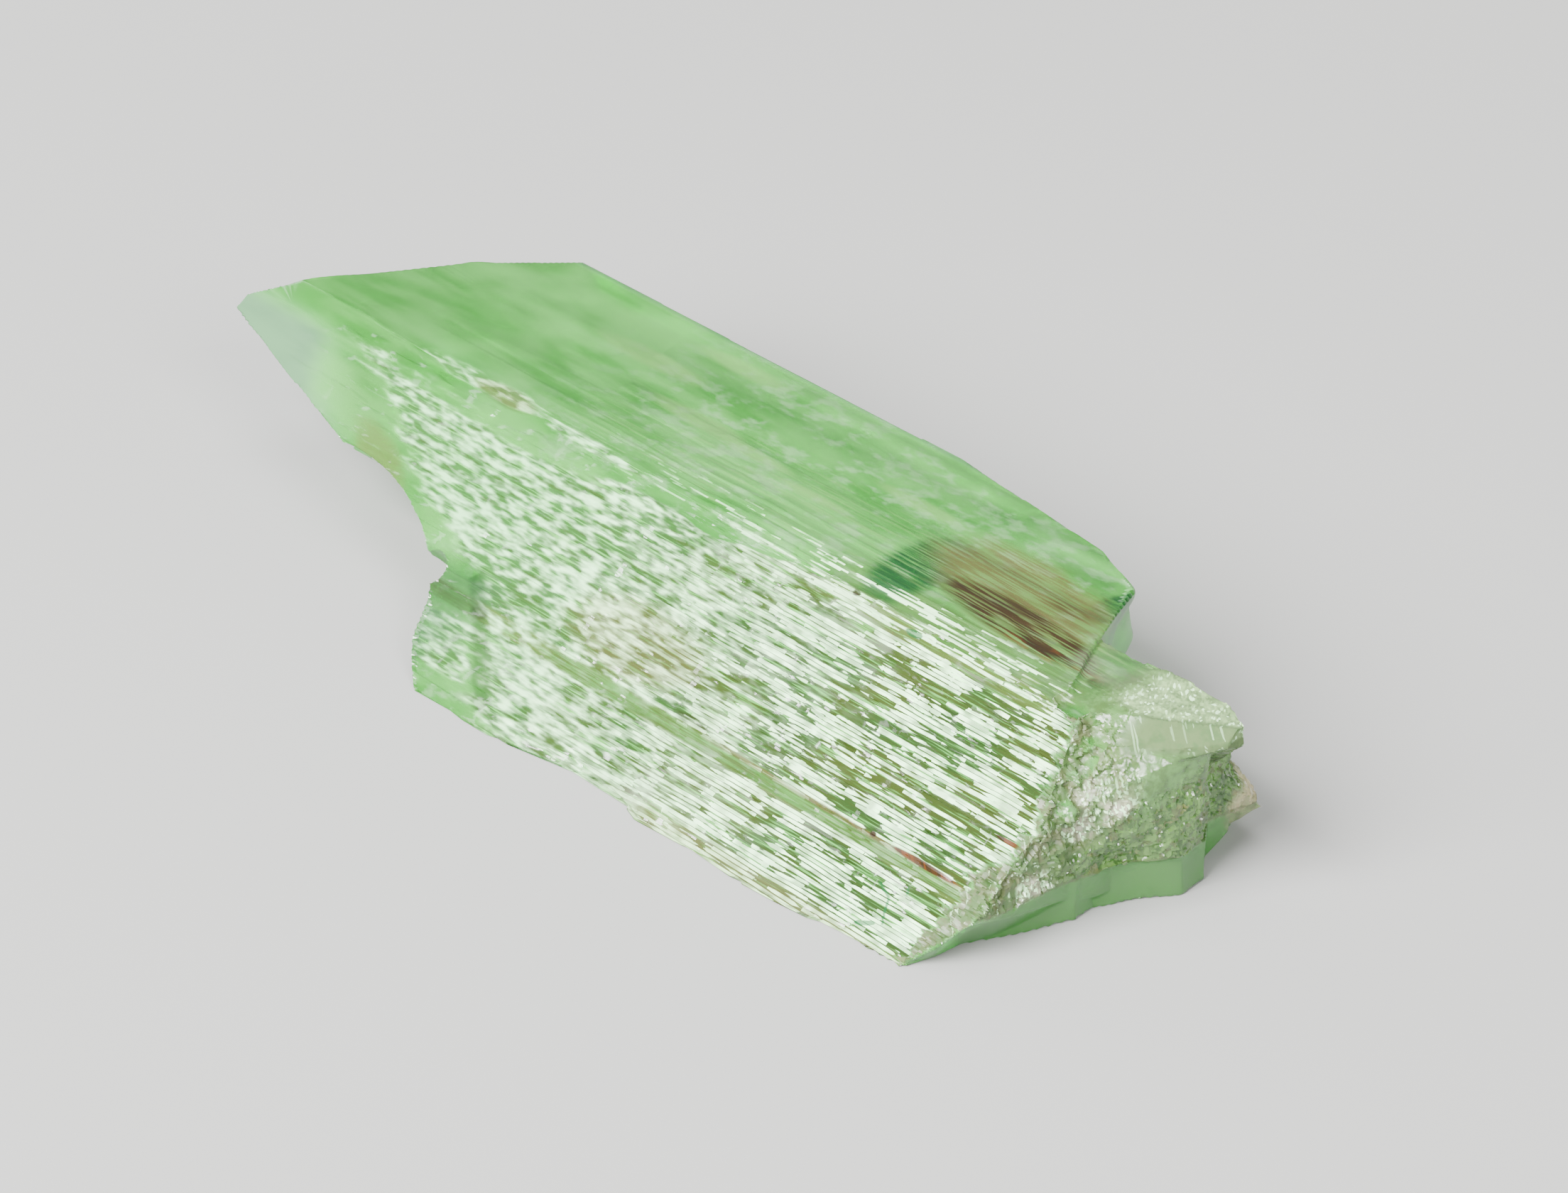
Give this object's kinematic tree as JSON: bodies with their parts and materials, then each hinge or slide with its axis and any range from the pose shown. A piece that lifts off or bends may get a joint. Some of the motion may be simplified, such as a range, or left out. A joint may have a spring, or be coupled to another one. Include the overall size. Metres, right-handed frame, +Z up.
{
  "type": "hiddenite crystal",
  "caption": "Single bladed, striated crystal of green hiddenite, lying on a prism face, with a chipped termination at one end and a broken end with a knob and a splinter.",
  "frame": {"origin": "middle of the crystal's extent along and across, at the height of the flat face it lies on", "axes": "+X along the crystal's long (c) axis, from the termination towards the broken end; +Y from the low edge of the slanting broad face towards the back; +Z up"},
  "size_m": [0.0388, 0.0148, 0.0054],
  "materials": {
    "hiddenite": "clear green spodumene, with a frosted, etched and striated skin on the broad face and glassy breaks"
  },
  "bodies": {
    "root": {"crystal": "hiddenite"}
  },
  "joints": []
}
